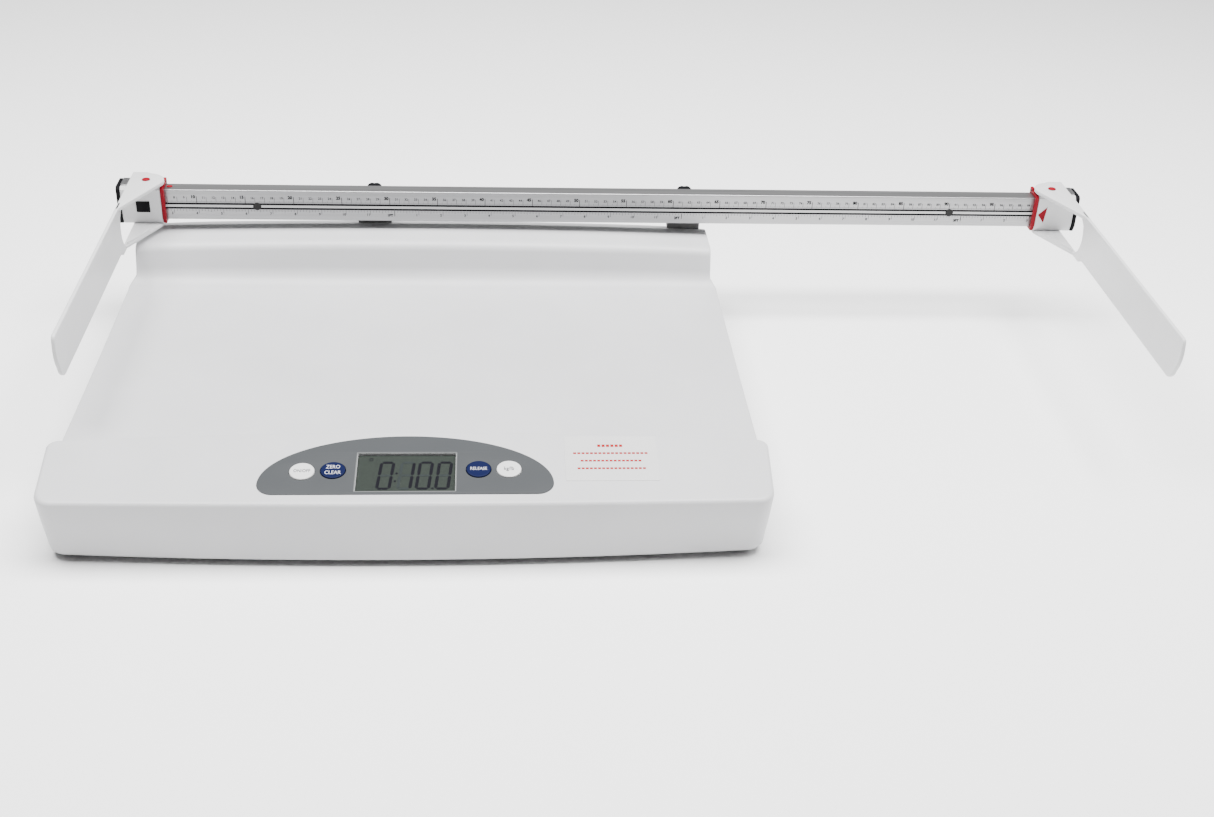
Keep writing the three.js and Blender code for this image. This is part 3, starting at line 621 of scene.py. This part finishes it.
def make_tray():
    """Thin one-piece tray whose long bed runs forward to the console and whose sides have rounded edges."""
    half = (TRAY_HIGH.x - TRAY_LOW.x) / 2
    thick, bed, ledge, back = TRAY["thick"], TRAY["bed"], TRAY["ledge"], TRAY_HIGH.y
    top = tray_profile()
    under = []
    for i, (y, z) in enumerate(top):
        a, b = top[max(i - 1, 0)], top[min(i + 1, len(top) - 1)]
        length = math.hypot(b[0] - a[0], b[1] - a[1])
        under.append((y - thick * (b[1] - a[1]) / length, z + thick * (b[0] - a[0]) / length))
    middle = [((a[0] + b[0]) / 2, (a[1] + b[1]) / 2) for a, b in zip(top, under)]

    def station(u, squeeze):
        edge = [[tuple(c + (p - c) * squeeze for p, c in zip(side, centre)) for side in (upper, lower)]
                for upper, lower, centre in zip(top, under, middle)]

        def set_down(point):
            y, z = point
            rise = max(0.0, (z - bed) / (ledge - bed))
            behind = max(0.0, (y - (back - 86)) / 86)
            x = CENTRE + u * (half - TRAY["waist"] * min(1, 5 * rise))
            return (x, y - 6 * behind * u ** 10, z - rise * TRAY["drop"] * u ** 2)

        return [set_down(pair[0]) for pair in edge] + [set_down(pair[1]) for pair in reversed(edge)]

    radius = thick / 2
    rounds = [math.pi / 8 * i for i in range(5)]
    edge_rings = [(1, 0.08)] + [(1 - radius * (1 - math.cos(a)) / half, math.sin(a)) for a in rounds[1:]]
    inner_end = 1 - thick / half
    inner = [inner_end * (1 - i / 30) for i in range(1, 60)]
    row = edge_rings + [(u, 1) for u in inner] + [(-u, s) for u, s in reversed(edge_rings)]
    points, faces = ring_solid([station(u, s) for u, s in row])
    mesh_piece("tray_shell", FIXED, "tray_white", "tray", points, faces, sharp=50, replaces=("tray",))


# ---------------------------------------------------------------- measuring rod
ROD_X0 = -530.2                             # zero of the printed scales
LINE_PITCH = 4.8
LINE_WIDE = 1.9                             # the two black lines along the grooves
PRINT = 0.15                                # how far the printing stands proud of the face


def mark(x, z0, z1, wide):
    """One printed stroke on the rod's face."""
    return block((x - wide / 2, FACE - PRINT, z0), (x + wide / 2, FACE + 0.02, z1))


def number(text, size, x, z, weight=0.0):
    place = Matrix.Translation((x, FACE - PRINT / 2, z)) @ FRONTAL
    return placed(lettering(text, size, PRINT, weight), place)


def on_scale(x):
    return ROD_LOW.x + 36 < x < ROD_HIGH.x - 36


def centimetre_scale():
    """Metric scale above the grooves: a stroke each half centimetre, a bold number each five."""
    bold, fine = [], []
    foot = GROOVE + LINE_WIDE / 2 + 0.6
    for step in range(1, 200):
        x = ROD_X0 + 5 * step
        if not on_scale(x):
            continue
        cm = step // 2
        if step % 2:
            fine.append(mark(x, foot, foot + 2.4, 0.22))
        elif cm % 5:
            fine.append(mark(x, foot, foot + 6.0, 0.34))
            fine.append(number(str(cm), 3.6, x - 2.8, foot + 5.2, 0.06))
        else:
            bold.append(mark(x, foot - 0.4, foot + 6.8, 0.6))
            bold.append(number(str(cm), 4.6, x - 3.6, foot + 6.0, 0.22))
    for millimetre in range(60, 1000):
        x = ROD_X0 + millimetre
        if millimetre % 5 and on_scale(x):
            fine.append(mark(x, foot, foot + 1.4, 0.16))
    return bold, fine


def inch_scale():
    """Inch scale below the grooves: eighths, a number each inch, and a bold mark each foot."""
    bold, fine = [], []
    top = GROOVE - LINE_PITCH - LINE_WIDE / 2 - 0.5
    for eighth in range(1, 320):
        x = ROD_X0 + eighth * 25.4 / 8
        if not on_scale(x):
            continue
        inch = eighth // 8
        if eighth % 8:
            deep = 3.0 if eighth % 4 == 0 else 2.0
            fine.append(mark(x, top - deep, top, 0.26))
        elif inch % 12:
            fine.append(mark(x, top - 4.6, top, 0.34))
            fine.append(number(str(inch % 12), 3.8, x - 2.2, top - 4.6, 0.08))
        else:
            bold.append(mark(x, top - 6.2, top, 0.6))
            bold.append(number(f"{inch // 12}FT", 3.8, x - 4.8, top - 5.2, 0.2))
    return bold, fine


def make_rod():
    y0, y1, z0, z1 = ROD_LOW.y, ROD_HIGH.y, ROD_LOW.z, ROD_HIGH.z
    slot_z, throat, wide = z0 + 21.9, 3.2, 5.5
    soft = 1.2
    lip, deep = y1 - 2, y1 - 8              # the back slot: narrow throat in the lip, wide channel behind it
    section = arc(y0 + soft, z0 + soft, soft, 180, 270, 5)
    section += [(y1, z0), (y1, slot_z - throat), (lip, slot_z - throat), (lip, slot_z - wide)]
    section += [(deep, slot_z - wide), (deep, slot_z + wide), (lip, slot_z + wide)]
    section += [(lip, slot_z + throat), (y1, slot_z + throat), (y1, z1)]
    section += arc(y0 + soft, z1 - soft, soft, 90, 180, 5)
    for z in (GROOVE, GROOVE - LINE_PITCH):
        section += [(y0, z + 0.5), (y0 + 0.8, z + 0.5), (y0 + 0.8, z - 0.5), (y0, z - 0.5)]
    wall = 1.8
    hollows = [[(y0 + wall, a), (y1 - wall, a), (y1 - wall, b), (y0 + wall, b)] for a, b in
               ((z0 + wall, slot_z - wide - wall), (slot_z + wide + wall, z1 - wall))]
    plate("rod_extrusion", FIXED, "rod_aluminium", "rod", [section, *hollows], ROD_LOW.x, ROD_HIGH.x,
          edge=0.25, place=ALONG_X, replaces=("rod_profile",))
    ends = (ROD_LOW.x + 0.6, ROD_HIGH.x - 0.6)
    lines = [block((ends[0], FACE - PRINT, z - LINE_WIDE / 2), (ends[1], FACE + 0.02, z + LINE_WIDE / 2))
             for z in (GROOVE, GROOVE - LINE_PITCH)]
    mesh_piece("groove_lines", FIXED, "black_plastic", "black", *joined(*lines))
    strip_low, strip_high = GROOVE - LINE_PITCH + LINE_WIDE / 2, GROOVE - LINE_WIDE / 2
    strip = block((ends[0], FACE - 0.05, strip_low + 0.1), (ends[1], FACE + 0.02, strip_high - 0.1))
    mesh_piece("centre_strip", FIXED, "rod_aluminium", "strip", *strip)
    cm_bold, cm_fine = centimetre_scale()
    in_bold, in_fine = inch_scale()
    mesh_piece("scale_print_bold", FIXED, "black_plastic", "ink", *joined(*cm_bold, *in_bold))
    mesh_piece("scale_print_fine", FIXED, "black_plastic", "thin_ink", *joined(*cm_fine, *in_fine))
    for tag in ("left", "right"):
        low, high = span(f"groove_plug_{tag}")
        x, z = (low.x + high.x) / 2, (low.z + high.z) / 2
        dome = [(3.6, -2.6), (3.6, -0.05), (4.2, -0.05), (4.2, 0.35), (3.9, 0.55), (2.8, 0.68)]
        dome += [(1.4, 0.72), (0.1, 0.74)]
        place = Matrix.Translation((x, FACE, z)) @ FRONTAL
        mesh_piece(f"plug_{tag}", FIXED, "rubber_black", "rubber", *placed(lathe_shape(dome, 32), place),
                   replaces=(f"groove_plug_{tag}",))
    low, high = span("index_mark")
    x, y = (low.x + high.x) / 2, (low.y + high.y) / 2
    turns = [2 * math.pi * i / 32 for i in range(32)]
    oval = [(x + 3.0 * math.cos(a), y + 2.6 * math.sin(a)) for a in turns]
    plate("index_spot", FIXED, "red_plastic", "red", [oval], low.z, high.z, edge=0.15,
          replaces=("index_mark",))


# ---------------------------------------------------------------- heads
HEAD = {"inner": 13.7, "outer": 27.0, "front": 4.5, "back": 3.0, "below": 3.6, "above": 3.6, "fit": 0.4}
PLATE = {"top": 150.8, "thick": 4.0, "low": 100.0, "low_thick": 3.2}
BLADE = {"out": 17.0, "thick": 3.6, "low": 105.0}


def handed(shape, side):
    """Head drawn with its pin at x = 0 as the left one; side +1 gives its mirror image on the right."""
    points, faces = shape
    points = [(side * PIN_X - side * p[0], p[1], p[2]) for p in points]
    return points, faces


def sleeve_section(grow):
    """Section of the sleeve round the rod, open behind so that it passes the rod's brackets: [y, z]."""
    y0, y1 = FACE - HEAD["front"] - grow, ROD_HIGH.y + HEAD["back"]
    z0, z1 = ROD_LOW.z - HEAD["below"], ROD_HIGH.z + HEAD["above"] + grow
    fit = HEAD["fit"]
    front, back, low, high = FACE - fit, ROD_HIGH.y + fit, ROD_LOW.z - fit, ROD_HIGH.z + fit
    lip_y, lip_z = FACE + 13, ROD_HIGH.z - 3            # where the sleeve ends under and behind the rod
    outside = [(y0, z0 + 7), (y0 + 3, z0), (lip_y, z0)]
    inside = [(lip_y, low), (front, low), (front, high), (back, high), (back, lip_z)]
    return outside + inside + [(y1, lip_z), (y1, z1), (y0 + 2.5, z1), (y0, z1 - 2.5)]


def head_piece(name, side, body, slot, material, shapes, replaces=(), sharp=40):
    points, faces = handed(joined(*shapes), side)
    return mesh_piece(name, body, slot, material, points, faces, sharp, replaces)


def make_carriage(tag, side, body):
    top = ROD_HIGH.z + HEAD["above"]
    boss_top = PLATE["top"] - PLATE["thick"] - GAP
    sleeve = plate_shape([sleeve_section(0)], -HEAD["outer"], HEAD["inner"], 0.6, ALONG_X)
    boss = placed(lathe_shape([(9, top - 2), (9, boss_top - 0.4), (8.6, boss_top), (2.6, boss_top),
                               (2.6, top - 1.8)], 40), Matrix.Translation((0, PIN_Y, 0)))
    stub = placed(lathe_shape([(1.8, PLATE["low"]), (2.2, PLATE["low"] + 0.4), (2.2, ROD_LOW.z - 2.6)], 28),
                  Matrix.Translation((0, PIN_Y, 0)))
    head_piece(f"sleeve_{tag}", side, body, "white_shell", "head", (sleeve, boss, stub),
               (f"carriage_{tag}",))
    x0 = HEAD["inner"] + GAP
    collar = plate_shape([sleeve_section(0.5)], x0, x0 + 3.3, 0.4, ALONG_X)
    y1 = ROD_HIGH.y + HEAD["back"]
    nib_low, nib_high = ROD_HIGH.z + 2, top + 2.2
    nib_outline = [(y1 - 7, nib_low), (y1, nib_low), (y1, nib_high), (y1 - 7, nib_high)]
    nib = plate_shape([nib_outline], x0, x0 + 3.3, 0.4, ALONG_X)
    head_piece(f"collar_{tag}", side, body, "red_plastic", "red", (collar, nib), (f"trim_{tag}",))
    rim = plate_shape([sleeve_section(0.8)], -HEAD["outer"] - 4, -HEAD["outer"] - GAP, 0.5, ALONG_X)
    head_piece(f"rim_{tag}", side, body, "black_plastic", "black", (rim,), (f"end_rim_{tag}",))


def make_grip(tag, side, body):
    z = ROD_HIGH.z + HEAD["above"] + GAP
    y0, y1 = FACE + 1, ROD_HIGH.y + HEAD["back"] - 1
    profile = [(y0, z), (y1, z), (y1, z + 0.9)]
    ridges = 9
    pitch = (y1 - y0) / ridges
    for i in range(ridges):
        right = y1 - pitch * i
        tooth = ((0.15, 1.6), (0.6, 1.6), (0.75, 0.8), (0.98, 0.8))
        profile += [(right - pitch * along, z + up) for along, up in tooth]
    ribs = plate_shape([profile], -HEAD["outer"] + 0.5, -17, 0.08, ALONG_X, steps=1)
    head_piece(f"ribs_{tag}", side, body, "cell_aluminium", "grip", (ribs,), (f"grip_{tag}",))


def fork_outline(reach, round_r, behind):
    """Fork plate: round over the pin, straight along the blade, diagonal in front: [x, y]."""
    out, thick = BLADE["out"], BLADE["thick"]
    return ([(-out, PIN_Y - reach - 8), (-out + thick, PIN_Y - reach)] + arc(0, PIN_Y, round_r, -28, 80, 16)
            + [(-2, PIN_Y + behind), (-out, PIN_Y + behind)])


def blade_outline():
    """Side view of the blade and its root: [y, z]."""
    top, low, thick = PLATE["top"], PLATE["low"], PLATE["thick"]
    tip, root, under = PIN_Y - 339, PIN_Y - 60, BLADE["low"]
    nose = [(tip, top), (tip - 2, top - 1.2), (tip - 3, top - 4), (tip - 4.5, top - 14), (tip - 4, top - 21),
            (tip - 2, top - 28), (tip + 1, top - 34)]
    heel = arc(tip + 15, under + 14, 14, 205, 270, 8)
    throat = [(root - 24, under), (root - 14, low), (root, low), (root, low + PLATE["low_thick"])]
    window = [(root - 9, low + 11), (root - 12.6, low + 18), (root - 14, low + 25), (root - 13.2, low + 32),
              (root - 11, low + 39), (root, top - thick)]
    return [(root, top)] + nose + heel + throat + window


def make_paddle(tag, side, body):
    top, thick, low, low_thick = PLATE.values()
    out = BLADE["out"]
    blade = plate_shape([blade_outline()], -out, -out + BLADE["thick"], 1.1, ALONG_X, steps=3)
    hole = disc(0, PIN_Y, 2.5, 28)
    upper = plate_shape([fork_outline(72, 18, 21), hole], top - thick, top, 0.7, steps=3)
    lower = plate_shape([fork_outline(58, 13, 13.5), hole], low, low + low_thick, 0.5)
    rib_outline = [(x, PIN_Y - back) for x, back in ((-14, 52), (-14, 57), (3, 24), (3, 20), (-1, 20))]
    rib = plate_shape([rib_outline], low + 1, low + low_thick + 2.8, 0.4)
    head_piece(f"blade_{tag}", side, body, "white_shell", "head", (blade, upper, lower, rib),
               (f"paddle_{tag}",))


def make_pin(tag, side, body):
    top = PLATE["top"]
    shank = [(2.1, ROD_HIGH.z + HEAD["above"] + 0.6), (2.1, top + 0.35), (4.2, top + 0.35), (4.2, top + 0.6),
             (3.9, top + 0.95), (2.9, top + 1.2), (1.4, top + 1.3), (0.1, top + 1.3)]
    pin = placed(lathe_shape(shank, 36), Matrix.Translation((0, PIN_Y, 0)))
    head_piece(f"pin_{tag}", side, body, "red_plastic", "red", (pin,), (f"hinge_pin_{tag}",))


def make_heads():
    for tag, side, carriage_body, paddle_body in (
            ("left", -1, FIXED, "head_paddle"), ("right", 1, "sliding_head", "foot_paddle")):
        make_carriage(tag, side, carriage_body)
        make_grip(tag, side, carriage_body)
        make_paddle(tag, side, paddle_body)
        make_pin(tag, side, carriage_body)
    y = FACE - HEAD["front"]
    low, high = span("lock_cover")
    square = rounded_box(low.x, high.x, -high.z, -low.z, 0.8)
    face_on = Matrix.Translation((0, y, 0)) @ Matrix.Rotation(-math.pi / 2, 4, "X")
    plate("lock_square", FIXED, "black_plastic", "black", [square], -0.6, 0.35, edge=0.12,
          place=face_on, replaces=("lock_cover",))
    low, high = span("reading_pointer")
    tip_z = low.z + (high.z - low.z) / 2
    arrow = [(low.x, -tip_z), (high.x - 2, -low.z), (high.x, -high.z)]
    plate("pointer", "sliding_head", "red_plastic", "red", [arrow], -0.5, 0.35, edge=0.1,
          place=face_on, replaces=("reading_pointer",))


# ---------------------------------------------------------------- fittings
def make_knobs():
    """Lobed thumb knobs behind the rod."""
    for tag in ("left", "right"):
        low, high = span(f"clamp_knob_{tag}")
        x, z = (low.x + high.x) / 2, (low.z + high.z) / 2
        r = (high.z - low.z) / 2
        back = high.y
        front = back - 9
        lobes = []
        for i in range(96):
            a = 2 * math.pi * i / 96
            reach = r - 1.0 * (0.5 - 0.5 * math.cos(6 * a)) ** 2
            lobes.append((x + reach * math.cos(a), z + reach * math.sin(a)))
        wheel = plate_shape([lobes], front, back - 0.2, 1.2, ALONG_Y, steps=3)
        stud = lathe_shape([(2.5, 0), (2.5, front + 1 - low.y)], 24)
        turn = Matrix.Translation((x, low.y, z)) @ Matrix.Rotation(-math.pi / 2, 4, "X")
        mesh_piece(f"thumb_knob_{tag}", f"knob_{tag}", "black_plastic", "black",
                   *joined(wheel, placed(stud, turn)), replaces=(f"clamp_knob_{tag}",))


def finish_frame_nodes():
    """The CAD nodes that stay visible get their finish from the record's slots."""
    by_slot = {
        "white_shell": "shell", "tray_white": "tray", "panel_grey": "overlay", "window_clear": "window",
        "lcd_green": "lcd", "key_white": "key_white", "key_blue": "key_blue", "rod_aluminium": "rod",
        "bracket_grey": "bracket", "steel": "steel", "cell_aluminium": "cell", "black_plastic": "black",
        "rubber_black": "rubber", "red_plastic": "red", "label_white": "label", "board_green": "board",
        "battery_blue": "battery",
    }
    for row in frame["record"]["subparts"]:
        node = frame["nodes"][row["node"]]
        node.data.materials.clear()
        node.data.materials.append(M[by_slot[row["material_slot"]]])


# ---------------------------------------------------------------- stage
def make_camera():
    """Camera that looks down on the scale from the front."""
    data = bpy.data.cameras.new("camera")
    data.sensor_width = 36
    data.lens = 46.57
    camera = bpy.data.objects.new("camera", data)
    right = Vector((0.99725, -0.06368, 0.03797))
    up = Vector((0.000145, 0.51378, 0.85792))
    behind = right.cross(up)
    place = Matrix((right, up, behind)).transposed().to_4x4()
    place.translation = (-0.1248, -1.3216, 0.7979)
    camera.matrix_world = place
    bpy.context.scene.collection.objects.link(camera)
    bpy.context.scene.camera = camera


def make_floor():
    mesh = bpy.data.meshes.new("floor")
    grid = bmesh.new()
    bmesh.ops.create_grid(grid, x_segments=8, y_segments=8, size=30)
    grid.to_mesh(mesh)
    grid.free()
    floor = bpy.data.objects.new("floor", mesh)
    bpy.context.scene.collection.objects.link(floor)
    material, shader = node_material("floor_paper", (0.96, 0.96, 0.96), 0.9)
    vary_roughness(material, shader, noise_node(material, 3), 0.85, 0.95)
    mesh.materials.append(material)


def area_light(name, place, target, size, power):
    data = bpy.data.lights.new(name, "AREA")
    data.shape = "RECTANGLE"
    data.size, data.size_y = size
    data.energy = power
    light = bpy.data.objects.new(name, data)
    light.location = place
    light.rotation_euler = (Vector(target) - Vector(place)).to_track_quat("-Z", "Y").to_euler()
    bpy.context.scene.collection.objects.link(light)


def make_lights():
    world = bpy.data.worlds.new("studio")
    world.use_nodes = True
    world.node_tree.nodes["Background"].inputs["Color"].default_value = (1, 1, 1, 1)
    world.node_tree.nodes["Background"].inputs["Strength"].default_value = 0.2
    bpy.context.scene.world = world
    area_light("softbox", (-0.1, 0.0, 2.1), (-0.1, 0.0, 0), (2.8, 1.1), 215)
    area_light("right_fill", (2.2, -0.2, 1.6), (-0.1, 0, 0.1), (1.4, 1.4), 30)


make_camera()
make_floor()
make_lights()
finish_frame_nodes()
make_console()
make_overlay()
make_display()
make_buttons()
make_label()
make_tray()
make_rod()
make_heads()
make_knobs()
